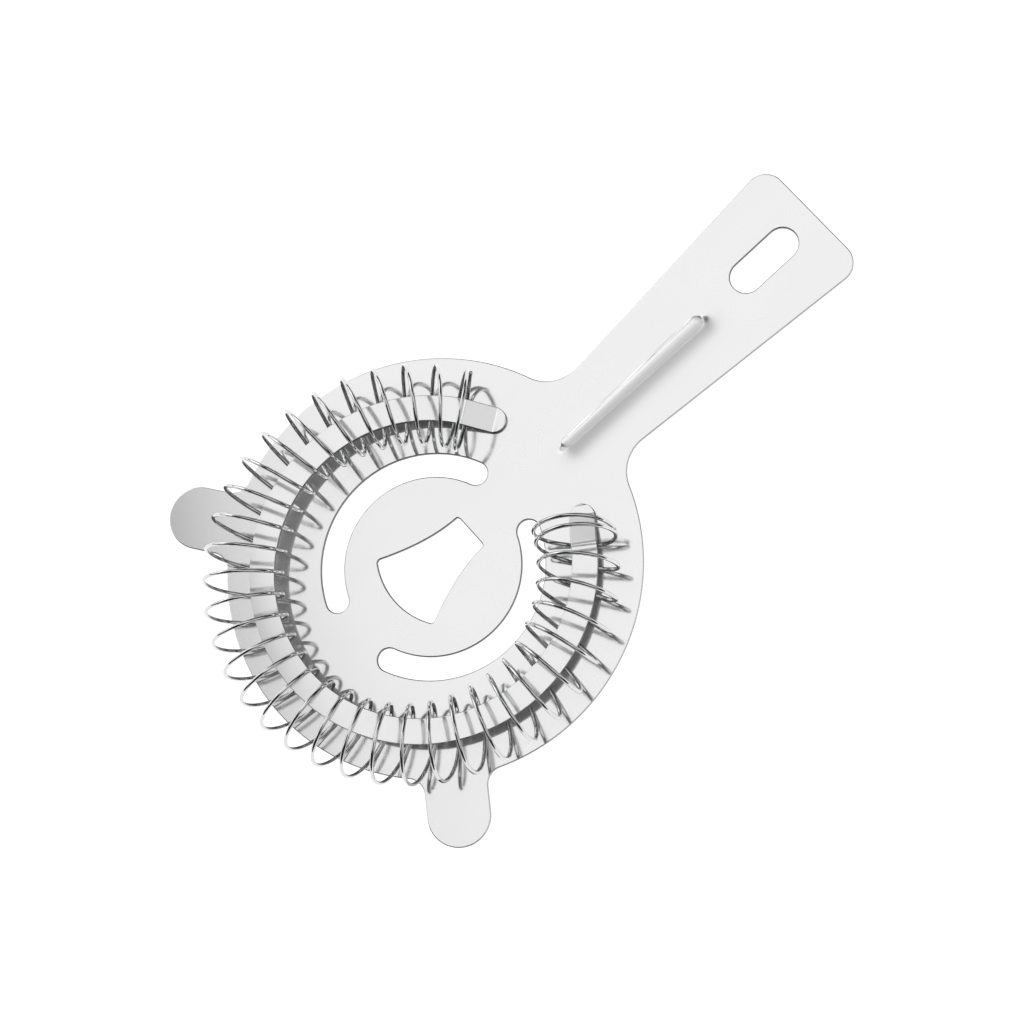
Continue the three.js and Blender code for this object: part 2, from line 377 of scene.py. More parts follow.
@dataclass(frozen=True)
class DrawnWire:
    """Bright drawn stainless wire: polished, with faint die lines and rubbed spots."""

    name: str
    colour: Colour = (0.70, 0.705, 0.71)
    rubbed_tone: float = 0.86
    roughness: float = 0.05
    line_roughness: float = 0.03
    rubbed_roughness: float = 0.04
    lines_along: float = 40.0
    lines_around: float = 14.0
    line_depth: float = 0.0000012
    line_strength: float = 0.6
    rubbed_size: float = 160.0
    rubbed_range: tuple[float, float] = (0.45, 0.75)

    def material(self) -> bpy.types.Material:
        """Build the finish.

        Returns:
            The material.
        """
        book = NodeBook.of_material(self.name)
        unrolled = book.node("ShaderNodeCombineXYZ", None, {
            "X": book.mark(Mark.ALONG) * self.lines_along,
            "Y": book.mark(Mark.AROUND) * self.lines_around}).outputs["Vector"]
        lines = book.noise(unrolled, 1.0)
        rubbed = book.noise(book.place(), self.rubbed_size, 3.0, 0.6).smooth(*self.rubbed_range)
        dark = tuple(c * self.rubbed_tone for c in self.colour)
        colour = book.mix((lines * 0.5 + rubbed * 0.5).clamped(), dark, self.colour)
        roughness = (lines * self.line_roughness + rubbed * self.rubbed_roughness
                     + self.roughness).clamped()
        return book.surface(book.principled(
            Base_Color=colour, Metallic=1.0, Roughness=roughness,
            Normal=book.bump(lines, self.line_depth, self.line_strength)))


@dataclass(frozen=True)
class PaleFloor:
    """Plain matt sweep that glows white, as if lit from below."""

    name: str = "pale_floor"
    colour: Colour = (0.3, 0.3, 0.3)
    glow: float = 0.95
    mottle_size: float = 3.0
    mottle_tone: float = 0.985
    roughness: float = 0.85
    shine: float = 0.2

    def material(self) -> bpy.types.Material:
        """Build the finish.

        Returns:
            The material.
        """
        book = NodeBook.of_material(self.name)
        mottle = book.noise(book.place(), self.mottle_size)
        darker = tuple(c * self.mottle_tone for c in self.colour)
        return book.surface(book.principled(
            Base_Color=book.mix(mottle, self.colour, darker), Roughness=self.roughness,
            Specular_IOR_Level=self.shine, Emission_Color=(1.0, 1.0, 1.0),
            Emission_Strength=self.glow))


# ---- Mesh helpers --------------------------------------------------------------------


@dataclass(frozen=True)
class Drawing:
    """Places a maker's drawing, in millimetres about the disc, in the frame."""

    middle: Vector

    def metres(self, points: Points) -> Points:
        """Move rows of x, y, z in millimetres to their place in the frame."""
        return np.asarray(points, float) * MM + np.array(self.middle)


def arc(centre: Sequence[float], radius: float, start: float, end: float, step: float) -> Points:
    """Points along an arc, both ends included.

    Args:
        centre: its centre.
        radius: its radius.
        start: first angle in radians.
        end: last angle.
        step: greatest distance between points.

    Returns:
        Array of x, y rows.
    """
    count = max(4, math.ceil(abs(end - start) * radius / step))
    angles = np.linspace(start, end, count + 1)
    return np.stack([centre[0] + radius * np.cos(angles), centre[1] + radius * np.sin(angles)], 1)


def joined(stretches: Iterable[Points]) -> Points:
    """Join stretches of an outline into one closed loop, without doubled points.

    Args:
        stretches: arrays of x, y rows.

    Returns:
        The loop.
    """
    loop = np.concatenate([np.asarray(s, float) for s in stretches])
    gap = np.linalg.norm(loop - np.roll(loop, 1, axis=0), axis=1)
    return loop[gap > 1e-6]


def subdivided(loop: Points, step: float) -> Points:
    """Add points so that no edge of a closed loop is longer than a step.

    Args:
        loop: closed loop.
        step: greatest length of an edge.

    Returns:
        The loop with its added points.
    """
    pieces = []
    for a, b in zip(loop, np.roll(loop, -1, axis=0)):
        count = max(1, math.ceil(np.linalg.norm(b - a) / step))
        share = np.arange(count)[:, None] / count
        pieces.append(a + (b - a) * share)
    return np.concatenate(pieces)


def unit(rows: Points) -> Points:
    """Rows scaled to length 1."""
    return rows / np.linalg.norm(rows, axis=-1, keepdims=True)


def grid(x_span: Sequence[float], y_span: Sequence[float], steps: Sequence[float]) -> Points:
    """A rectangular grid of x, y rows, up to but without the far end of each span."""
    across = np.meshgrid(np.arange(*x_span, steps[0]), np.arange(*y_span, steps[1]))
    return np.stack(across, -1).reshape(-1, 2)


def inset(loop: Points, depth: float) -> Points:
    """Move a loop sideways into the material on its left.

    Args:
        loop: closed loop with the material on its left.
        depth: how far.

    Returns:
        The moved loop.
    """
    before = unit(loop - np.roll(loop, 1, axis=0))
    after = unit(np.roll(loop, -1, axis=0) - loop)
    normal = unit(np.stack([-(before + after)[:, 1], (before + after)[:, 0]], 1))
    edge_normal = np.stack([-after[:, 1], after[:, 0]], 1)
    reach = depth / np.clip((normal * edge_normal).sum(1), 0.5, 1.0)
    return loop + normal * reach[:, None]


def make_object(name: str, points: Points, faces: Sequence[Sequence[int]],
                material: bpy.types.Material) -> bpy.types.Object:
    """Make a mesh object and link it to the scene.

    Args:
        name: the piece's name.
        points: its vertices in metres.
        faces: vertex numbers of each face.
        material: its finish.

    Returns:
        The object.
    """
    mesh = bpy.data.meshes.new(name)
    mesh.from_pydata([tuple(p) for p in points], [], [tuple(int(i) for i in f) for f in faces])
    mesh.validate()
    mesh.materials.append(material)
    piece = bpy.data.objects.new(name, mesh)
    bpy.context.scene.collection.objects.link(piece)
    tidy = bmesh.new()
    tidy.from_mesh(mesh)
    bmesh.ops.recalc_face_normals(tidy, faces=tidy.faces)
    tidy.to_mesh(mesh)
    tidy.free()
    return piece


def store(piece: bpy.types.Object, mark: Mark, numbers: np.ndarray) -> None:
    """Store one number for each vertex of a piece, for its shader to read."""
    kept = piece.data.attributes.new(mark.value, "FLOAT", "POINT")
    kept.data.foreach_set("value", np.asarray(numbers, np.float32))


def weigh_normals(piece: bpy.types.Object) -> None:
    """Let the large faces of a piece set its smooth normals, so that its flats stay flat.

    Args:
        piece: the piece.
    """
    weighted = piece.modifiers.new("weighted_normals", "WEIGHTED_NORMAL")
    weighted.mode = "FACE_AREA"
    weighted.weight = 100
    weighted.keep_sharp = True


def sweep(rings: Points) -> list[tuple[int, ...]]:
    """Faces that join a row of rings into a tube with closed ends.

    Args:
        rings: array of rings, points and coordinates.

    Returns:
        The faces.
    """
    count, sides = rings.shape[0], rings.shape[1]
    faces: list[tuple[int, ...]] = []
    for i in range(count - 1):
        for j in range(sides):
            k = (j + 1) % sides
            faces.append((i * sides + j, i * sides + k, (i + 1) * sides + k, (i + 1) * sides + j))
    faces.append(tuple(reversed(range(sides))))
    faces.append(tuple((count - 1) * sides + j for j in range(sides)))
    return faces


# ---- Strainer plate ------------------------------------------------------------------


@dataclass
class StrainerPlate:
    """The stamped sheet: disc, handle, prongs, slots, holes and the pressed rib."""

    drawing: Drawing
    finish: SatinSteel
    sheet: float = 1.0
    edge_round: float = 0.2
    edge_points: int = 4
    disc: float = 42.5
    handle_end: float = 103.1
    neck: tuple[float, float] = (49.8, 10.2)
    tip: tuple[float, float] = (97.6, 14.0)
    neck_fillet: float = 8.0
    corner: float = 4.3
    hang_hole: Triple = (89.6, 16.2, 3.3)
    prong: tuple[float, float, float, float] = (56.2, 6.4, 54.8, 3.5)
    slot: Triple = (20.5, 2.35, 23.1)
    fan_tip: tuple[float, float] = (10.4, 4.0)
    fan_wide: tuple[float, float] = (-7.5, 8.75)
    fan_waist: tuple[float, float] = (2.8, 4.0)
    fan_back: float = 15.5
    fan_corner: float = 0.6
    fan_points: int = 26
    fan_steps: tuple[float, float] = (0.7, 0.5)
    rib_span: tuple[float, float] = (36.3, 71.3)
    rib_radius: tuple[float, float] = (0.8, 1.25)
    rib_height: tuple[float, float] = (0.55, 0.95)
    crown: Triple = (0.18, 1.12, 0.8)
    drawn_span: tuple[float, float] = (-0.3, 0.8)
    dip: float = 0.44
    dip_reach: float = 8.0
    outer_cut_and_shade: float = 0.5
    pressed_reach: float = 6.0
    groove_share: float = 0.62
    foot_softness: float = 0.5
    step: float = 0.8
    fillet_step: float = 0.4
    fine_step: float = 0.3
    edge_step: float = 2.5
    rib_grid: tuple[float, float] = (0.36, 0.21)
    rib_margin: Triple = (5.8, 6.4, 6.3)
    flat_grid: float = 3.0
    flat_span: Triple = (-60.0, 104.0, 48.0)

    def build(self) -> bpy.types.Object:
        """Build and dress the plate.

        Returns:
            The piece.
        """
        loops = [self._outline(), *self._arc_slots(), self._fan(), self._hang()]
        loops = [subdivided(loop, self.edge_step) for loop in loops]
        points, faces, cut = self._sheet_mesh(loops)
        piece = make_object("plate_visual", self.drawing.metres(points), faces,
                            self.finish.material())
        store(piece, Mark.CUT, cut)
        store(piece, Mark.PRESSED, self._pressed(points[:, :2]))
        store(piece, Mark.CREST, self._crest(points[:, :2]))
        self._shade(piece, points, cut)
        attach(piece, Body.PLATE.value)
        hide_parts("strainer_plate")
        return piece

    def _outline(self) -> Points:
        """Outer edge, counter-clockwise from the handle's end.

        Returns:
            The loop, with the material on its left.
        """
        upper = self._handle_half()
        back = math.pi - math.radians(self.prong[2])
        first, last = self._prong_bulge()
        start = math.atan2(upper[-1][1], upper[-1][0])
        top = arc((0, 0), self.disc, start, back - first, self.step)
        rear = arc((0, 0), self.disc, back + first, TURN - back - first, self.step)
        prong = self._turned(last, back)
        lower = [(stretch * MIRROR)[::-1] for stretch in (prong, top, upper)]
        return joined([upper, top, prong, rear, *lower])

    def _handle_half(self) -> Points:
        """Upper side of the handle, from the middle of its end to the disc.

        Returns:
            Array of x, y rows.
        """
        low, high = np.array(self.neck), np.array(self.tip)
        along = unit(high - low)
        out = np.array([-along[1], along[0]])
        slope = math.atan2(along[1], along[0])
        reach = self.disc + self.neck_fillet
        foot = low + out * self.neck_fillet
        shift = -foot @ along + math.sqrt((foot @ along) ** 2 - foot @ foot + reach**2)
        centre = foot + along * shift
        inner = math.atan2(-centre[1], -centre[0])
        side = slope - math.pi / 2
        fillet = arc(centre, self.neck_fillet, side, inner, self.fillet_step)
        base = low - out * self.corner
        corner_x = self.handle_end - self.corner
        corner_y = base[1] + (corner_x - base[0]) * along[1] / along[0]
        corner = arc((corner_x, corner_y), self.corner, 0.0, slope + math.pi / 2, self.fine_step)
        return joined([[(self.handle_end, 0.0)], corner, fillet])

    def _prong_bulge(self) -> tuple[float, Points]:
        """One prong drawn along +X, with the angle at which its fillets meet the disc.

        Returns:
            The angle, and the stretch from its lower fillet to its upper one.
        """
        reach, radius, _, fillet = self.prong
        outer = self.disc + fillet
        y = radius + fillet
        x = math.sqrt(outer**2 - y**2)
        spread = math.atan2(y, x)
        quarter = math.pi / 2
        lower = arc((x, -y), fillet, math.pi - spread, quarter, self.fine_step)
        tip = arc((reach - radius, 0.0), radius, -quarter, quarter, self.fillet_step)
        upper = arc((x, y), fillet, -quarter, spread - math.pi, self.fine_step)
        return spread, joined([lower, tip, upper])

    def _turned(self, points: Points, angle: float) -> Points:
        """Turn points about the middle of the disc."""
        c, s = math.cos(angle), math.sin(angle)
        return points @ np.array([[c, s], [-s, c]])

    def _arc_slots(self) -> list[Points]:
        """The two slots, clockwise.

        Returns:
            The two loops.
        """
        radius, half, end = self.slot
        a0, a1 = math.radians(end), math.pi - math.radians(end)
        near = (radius * math.cos(a0), radius * math.sin(a0))
        far = (radius * math.cos(a1), radius * math.sin(a1))
        outer = arc((0, 0), radius + half, a0, a1, self.step)
        inner = arc((0, 0), radius - half, a1, a0, self.step)
        loop = joined([outer, arc(far, half, a1, a1 + math.pi, self.fine_step), inner,
                       arc(near, half, a0 - math.pi, a0, self.fine_step)])
        return [loop[::-1], loop * MIRROR]

    def _fan(self) -> Points:
        """The fan-shaped hole, clockwise, its corners slightly rounded.

        Returns:
            The loop.
        """
        share = np.linspace(0.0, 1.0, self.fan_points)[:, None]
        start, waist, end = (np.array(p) for p in (self.fan_tip, self.fan_waist, self.fan_wide))
        side = (1 - share) ** 2 * start + 2 * share * (1 - share) * waist + share**2 * end
        spread = math.asin(self.fan_wide[1] / self.fan_back)
        centre = self.fan_wide[0] + math.sqrt(self.fan_back**2 - self.fan_wide[1] ** 2)
        back = arc((centre, 0.0), self.fan_back, math.pi - spread, math.pi + spread,
                   self.fan_steps[0])
        loop = joined([side, back[1:-1], (side * MIRROR)[::-1]])
        corners = [start, end, start * MIRROR, end * MIRROR]
        return self._eased(subdivided(loop, self.fan_steps[1]), corners)[::-1]

    def _eased(self, loop: Points, corners: Sequence[Points]) -> Points:
        """Round the named corners of a loop.

        Args:
            loop: closed loop.
            corners: the corners to round.

        Returns:
            The rounded loop.
        """
        size = self.fan_corner
        nearest = np.min([np.linalg.norm(loop - c, axis=1) for c in corners], axis=0)
        kept = loop[nearest > size]
        share = np.linspace(0.0, 1.0, 7)[1:-1, None]
        stretches = []
        for here, following in zip(kept, np.roll(kept, -1, axis=0)):
            stretches.append([here])
            ends = np.array([here, following])
            near = [c for c in corners if np.linalg.norm(ends - c, axis=1).max() < 2.5 * size]
            if near and np.linalg.norm(following - here) > 0.9 * size:
                stretches.append((1 - share) ** 2 * here + 2 * share * (1 - share) * near[0]
                                 + share**2 * following)
        return joined(stretches)

    def _hang(self) -> Points:
        """The hanging hole, clockwise.

        Returns:
            The loop.
        """
        x, length, radius = self.hang_hole
        half, quarter = length / 2 - radius, math.pi / 2
        far = arc((x + half, 0), radius, -quarter, quarter, self.fine_step)
        near = arc((x - half, 0), radius, quarter, 3 * quarter, self.fine_step)
        return joined([far, near])[::-1]

    def _rib(self, flat: Points) -> np.ndarray:
        """Height of the pressed rib over each point, below 0 where the sheet dips beside it.

        Args:
            flat: array of x, y rows.

        Returns:
            The heights.
        """
        x0, x1 = self.rib_span
        share = np.clip((flat[:, 0] - x0) / (x1 - x0), 0.0, 1.0)
        height = self.rib_height[0] + (self.rib_height[1] - self.rib_height[0]) * share
        radius = self.rib_radius[0] + (self.rib_radius[1] - self.rib_radius[0]) * share
        beside, drawn = self._beside_rib(flat)
        top, foot, power = self.crown
        slope = np.clip((beside / radius + 1.0 - top) / (foot - top), 0.0, 1.0)
        crown = height * (1.0 - slope * slope * (3 - 2 * slope)) ** power
        fade = np.clip(1.0 - np.clip(beside, 0.0, None) / self.dip_reach, 0.0, 1.0)
        return crown - self.dip * drawn * fade**2

    def _beside_rib(self, flat: Points) -> tuple[np.ndarray, np.ndarray]:
        """Where each point lies about the rib.

        Args:
            flat: array of x, y rows.

        Returns:
            Distance from the side of the rib, below 0 on it, and a share that is 1 on the side
            where pressing drew the sheet down and 0 on the other.
        """
        x = np.clip(flat[:, 0], *self.rib_span)
        radius = np.interp(x, self.rib_span, self.rib_radius)
        away = np.hypot(flat[:, 0] - x, flat[:, 1])
        low, high = self.drawn_span
        lean = np.clip((-flat[:, 1] / np.maximum(away, radius) - low) / (high - low), 0.0, 1.0)
        return away - radius, lean * lean * (3.0 - 2.0 * lean)

    def _pressed(self, flat: Points) -> np.ndarray:
        """How much each point was stretched by pressing the rib, 0 away from it."""
        beside, drawn = self._beside_rib(flat)
        return drawn * (1.0 - np.clip(beside / self.pressed_reach, 0.0, 1.0)) ** 2

    def _crest(self, flat: Points) -> np.ndarray:
        """1 on the rib, where the sheet is frosted by the stretch and painted lighter as a
        highlight, fading at its foot.
        """
        return 1.0 - np.clip(self._beside_rib(flat)[0] / self.foot_softness + 0.5, 0.0, 1.0)

    def _sheet_mesh(self, loops: list[Points]) -> tuple[Points, list[tuple[int, ...]], np.ndarray]:
        """Top, bottom and rounded walls of the sheet.

        Args:
            loops: outer edge and holes, each with the material on its left.

        Returns:
            The points, the faces, and the cut share of each point, which is 0 on the faces and
            darkens the walls as painted shade.
        """
        faces: list[tuple[int, ...]] = []
        levels: list[Points] = []
        quarter = np.linspace(0.0, math.pi / 2, self.edge_points)
        profile = [(self.edge_round * (1 - math.sin(a)), self.sheet - self.edge_round
                    * (1 - math.cos(a))) for a in quarter]
        profile += [(depth, self.sheet - z) for depth, z in reversed(profile)]
        wall_edges: list[list[tuple[int, int]]] = [[], []]
        total = 0
        edge: list[np.ndarray] = []
        for number, loop in enumerate(loops):
            count = len(loop)
            # Hole walls take the full cut share and the outer edge only part of it, so the dark
            # cut colour paints deeper shade in the holes.
            sheared = self.outer_cut_and_shade if number == 0 else 1.0
            for depth, z in profile:
                moved = inset(loop, depth)
                levels.append(np.column_stack([moved, np.full(count, z)]))
                edge.append(np.full(count, sheared if depth < self.edge_round else 0.0))
            for level in range(len(profile) - 1):
                low, high = total + level * count, total + (level + 1) * count
                for i in range(count):
                    k = (i + 1) % count
                    faces.append((low + i, low + k, high + k, high + i))
            last = total + (len(profile) - 1) * count
            wall_edges[0] += [(total + i, total + (i + 1) % count) for i in range(count)]
            wall_edges[1] += [(last + i, last + (i + 1) % count) for i in range(count)]
            total += len(profile) * count
        points = np.concatenate(levels)
        cut_shade_share = np.concatenate(edge)
        for side, edges in enumerate(wall_edges):
            points, cut_shade_share, cap = self._cap(points, cut_shade_share, edges, side == 0)
            faces += cap
        return points, faces, cut_shade_share

    def _cap(self, points: Points, cut_shade_share: np.ndarray, edges: list[tuple[int, int]],
             top: bool) -> tuple[Points, np.ndarray, list[tuple[int, ...]]]:
        """Fill one face of the sheet, raised or sunk along the rib.

        Args:
            points: the sheet's points so far.
            cut_shade_share: the cut share of each point, which also sets the painted shade on the
                walls.
            edges: pairs of point numbers round the face and its holes.
            top: the face is the upper one.

        Returns:
            The points and cut shares with the new ones added, and the faces.
        """
        ring = np.array([e[0] for e in edges])
        number = {int(v): i for i, v in enumerate(ring)}
        flat = points[ring, :2]
        links = [(number[a], number[b]) for a, b in edges]
        everything = np.concatenate([flat, self._inner_points(flat, links)])
        filled = delaunay_2d_cdt([Vector(p) for p in everything], links, [], 0, 1e-7)
        where = np.array([tuple(v) for v in filled[0]])
        source = [origin[0] if origin else -1 for origin in filled[3]]
        triangles = np.array([tuple(f) for f in filled[2]])
        centres = where[triangles].mean(1)
        keep = self._on_sheet(centres, flat, links)
        lift = self._rib(where)
        z = self.sheet + lift if top else np.maximum(lift, 0.0) * self.groove_share
        start = len(points)
        added: list[int] = []
        target = np.zeros(len(where), int)
        for i, origin in enumerate(source):
            if 0 <= origin < len(ring):
                target[i] = ring[origin]
            else:
                target[i] = start + len(added)
                added.append(i)
        fresh = np.column_stack([where[added], z[added]])
        faces = [tuple(int(v) for v in target[t]) for t in triangles[keep]]
        return (np.concatenate([points, fresh]), np.concatenate([cut_shade_share, np.zeros(len(added))]),
                faces)

    def _inner_points(self, flat: Points, edges: list[tuple[int, int]]) -> Points:
        """Fill points: a fine grid over the rib and a coarse one elsewhere.

        Args:
            flat: x, y rows of the points on the edges.
            edges: pairs of their numbers.

        Returns:
            Array of x, y rows.
        """
        before, beyond, beside = self.rib_margin
        x0, x1 = self.rib_span[0] - before, self.rib_span[1] + beyond
        fine = grid((x0, x1), (-beside, beside + MM), self.rib_grid)
        left, right, side = self.flat_span
        coarse = grid((left, right), (-side, side + self.flat_grid / 2), [self.flat_grid] * 2)
        clear = 0.7
        near_rib = ((coarse[:, 0] > x0 - clear) & (coarse[:, 0] < x1 + clear)
                    & (np.abs(coarse[:, 1]) < beside + clear))
        coarse = coarse[~near_rib]
        coarse = coarse[self._on_sheet(coarse, flat, edges)]
        gap = np.min(np.linalg.norm(coarse[:, None, :] - flat[None, :, :], axis=2), axis=1)
        return np.concatenate([fine, coarse[gap > self.flat_grid * 0.3]])

    def _on_sheet(self, places: Points, flat: Points, edges: list[tuple[int, int]]) -> np.ndarray:
        """Which places are on material: inside the outline and outside every hole.

        Args:
            places: x, y rows to test.
            flat: x, y rows of the points on the edges.
            edges: pairs of their numbers.

        Returns:
            True for each place on material.
        """
        start = flat[[a for a, _ in edges]]
        end = flat[[b for _, b in edges]]
        x, y = places[:, 0][:, None], places[:, 1][:, None]
        spans = (start[:, 1] <= y) != (end[:, 1] <= y)
        with np.errstate(divide="ignore", invalid="ignore"):
            cross = start[:, 0] + (y - start[:, 1]) * (end[:, 0] - start[:, 0]) / (
                end[:, 1] - start[:, 1])
        return (np.sum(spans & (x < cross), axis=1) % 2).astype(bool)

    def _shade(self, piece: bpy.types.Object, points: Points, cut_shade_share: np.ndarray) -> None:
        """Shade the rib and the rounded edges smooth, and keep the flats flat.

        Args:
            piece: the plate.
            points: its points in millimetres.
            cut_shade_share: the cut share of each point, which the finish also uses for painted
                shade.
        """
        raised = np.abs(self._rib(points[:, :2])) > 1e-6
        smooth = [bool(raised[list(f.vertices)].any() or cut_shade_share[list(f.vertices)].any())
                  for f in piece.data.polygons]
        piece.data.polygons.foreach_set("use_smooth", smooth)
        weigh_normals(piece)


# ---- Spring carrier ------------------------------------------------------------------


@dataclass
class SpringCarrier:
    """The C-shaped strap above the plate, with sloping legs and round welded feet."""

    drawing: Drawing
    finish: SatinSteel
    sheet: float = 1.0
    radius: float = 32.5
    centre_x: float = -1.5
    width: float = 5.2
    bend_angle: float = 34.6
    height: float = 2.6
    rise: float = 2.4
    leg_run: float = 6.2
    foot: float = 2.4
    edge_round: float = 0.16
    bend_softness: float = 0.7
    bend_start: float = 0.2
    step: float = 0.25
    tip_points: int = 14
    tip_width: float = 0.05
    ring_points: int = 181
    # Dark cut share round each section corner: sheared sides, partly painted shade along the
    # strap's edges.
    section_cut_and_shade: tuple[float, ...] = (1.0, 0.7, 0.2, 0.0)

    def build(self) -> bpy.types.Object:
        """Build and dress the carrier.

        Returns:
            The piece.
        """
        line, half = self._centre_line()
        rings = self._rings(line, half)
        faces = sweep(rings)
        points = rings.reshape(-1, 3)
        piece = make_object("spring_carrier_visual", self.drawing.metres(points), faces,
                            self.finish.material())
        store(piece, Mark.CUT, self._strap_cut_and_shade(rings))
        piece.data.polygons.foreach_set("use_smooth", [True] * len(piece.data.polygons))
        weigh_normals(piece)
        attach(piece, Body.PLATE.value)
        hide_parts("spring_carrier")
        return piece

    def feet(self) -> list[tuple[float, float]]:
        """Middle of each foot, where it is spot-welded, in metres in the frame.

        Returns:
            One x, y pair for each foot.
        """
        line, _ = self._centre_line()
        reach = self.leg_run + self.foot - self.width / 2
        middle = []
        for side in (1, -1):
            bend = self._bend(side)
            heading = self._heading(side)
            spot = self.drawing.metres([[*(bend + heading * reach), 0.0]])[0]
            middle.append((float(spot[0]), float(spot[1])))
        return middle

    def _bend(self, side: int) -> Points:
        """Where the strap bends down, on one side.

        Args:
            side: 1 for the +Y side, -1 for the other.

        Returns:
            Its x and y.
        """
        a = math.radians(self.bend_angle)
        return np.array([self.centre_x + self.radius * math.cos(a),
                         side * self.radius * math.sin(a)])

    def _heading(self, side: int) -> Points:
        """Direction in which a leg runs on from its bend."""
        a = math.radians(self.bend_angle)
        return np.array([math.sin(a), -side * math.cos(a)])

    def _drop(self, reach: np.ndarray) -> np.ndarray:
        """Height of the underside along a leg, from the bend, with its bends rounded.

        Args:
            reach: distances along the leg.

        Returns:
            The heights.
        """
        offsets = np.linspace(-self.bend_softness / 2, self.bend_softness / 2, 9)
        along = reach[:, None] + offsets
        return np.interp(along, [self.bend_start, self.leg_run], [self.height, 0.0]).mean(1)

    def _centre_line(self) -> tuple[Points, np.ndarray]:
        """Middle line of the strap, foot to foot, and its half width at each point.

        Returns:
            Rows of x, y, z, and the half widths.
        """
        end = self.leg_run + self.foot
        half = self.width / 2
        body = np.arange(0.0, end - half, self.step)
        tip = end - half + half * np.sin(np.linspace(0.0, 0.49 * math.pi, self.tip_points))
        reach = np.concatenate([body, tip])
        drop = self._drop(reach)
        past = np.clip(reach - (end - half), 0.0, None)
        wide = np.sqrt(np.clip(half**2 - past**2, self.tip_width**2, None))
        a = math.radians(self.bend_angle)
        angles = np.linspace(a, TURN - a, self.ring_points)[1:-1]
        x = self.centre_x + self.radius * np.cos(angles)
        bend_x = self._bend(1)[0]
        climb = self.rise * (bend_x - x) / (bend_x - self.centre_x + self.radius)
        ring = np.column_stack([x, self.radius * np.sin(angles), self.height + climb])
        legs = []
        for side in (1, -1):
            flat = self._bend(side) + reach[:, None] * self._heading(side)
            legs.append(np.column_stack([flat, drop]))
        line = np.concatenate([legs[0][::-1], ring, legs[1]])
        line[:, 2] += self.sheet * 1.5
        widths = np.concatenate([wide[::-1], np.full(len(ring), half), wide])
        return line, widths

    def _rings(self, line: Points, half: np.ndarray) -> Points:
        """Rounded rectangular sections along the middle line.

        Args:
            line: rows of x, y, z.
            half: half width at each row.

        Returns:
            Array of rings, points and coordinates.
        """
        tangent = unit(np.gradient(line, axis=0))
        across = unit(np.cross(tangent, [0.0, 0.0, 1.0]))
        up = np.cross(across, tangent)
        rings = []
        for point, side, rise, reach in zip(line, across, up, half):
            rings.append([point + side * u + rise * v for u, v in self._section(reach)])
        return np.array(rings)

    def _section(self, half: float) -> list[tuple[float, float]]:
        """Rounded rectangle, sheet thick and two half widths wide.

        Args:
            half: its half width.

        Returns:
            Pairs of sideways and upward reach.
        """
        r = min(self.edge_round, half * 0.9)
        tall = self.sheet / 2
        outline = []
        for cx, cy, start in ((half - r, tall - r, 0.0), (r - half, tall - r, 0.25),
                              (r - half, r - tall, 0.5), (half - r, r - tall, 0.75)):
            for share in np.linspace(0.0, 0.25, len(self.section_cut_and_shade)):
                a = TURN * (start + share)
                outline.append((cx + r * math.cos(a), cy + r * math.sin(a)))
        return outline

    def _strap_cut_and_shade(self, rings: Points) -> np.ndarray:
        """How much each point lies on the sheared sides of the strap, not on its faces, where its
        finish paints shade with the dark cut colour.
        """
        return np.tile([*self.section_cut_and_shade, *self.section_cut_and_shade[::-1]] * 2, len(rings))


# ---- Coil spring ---------------------------------------------------------------------


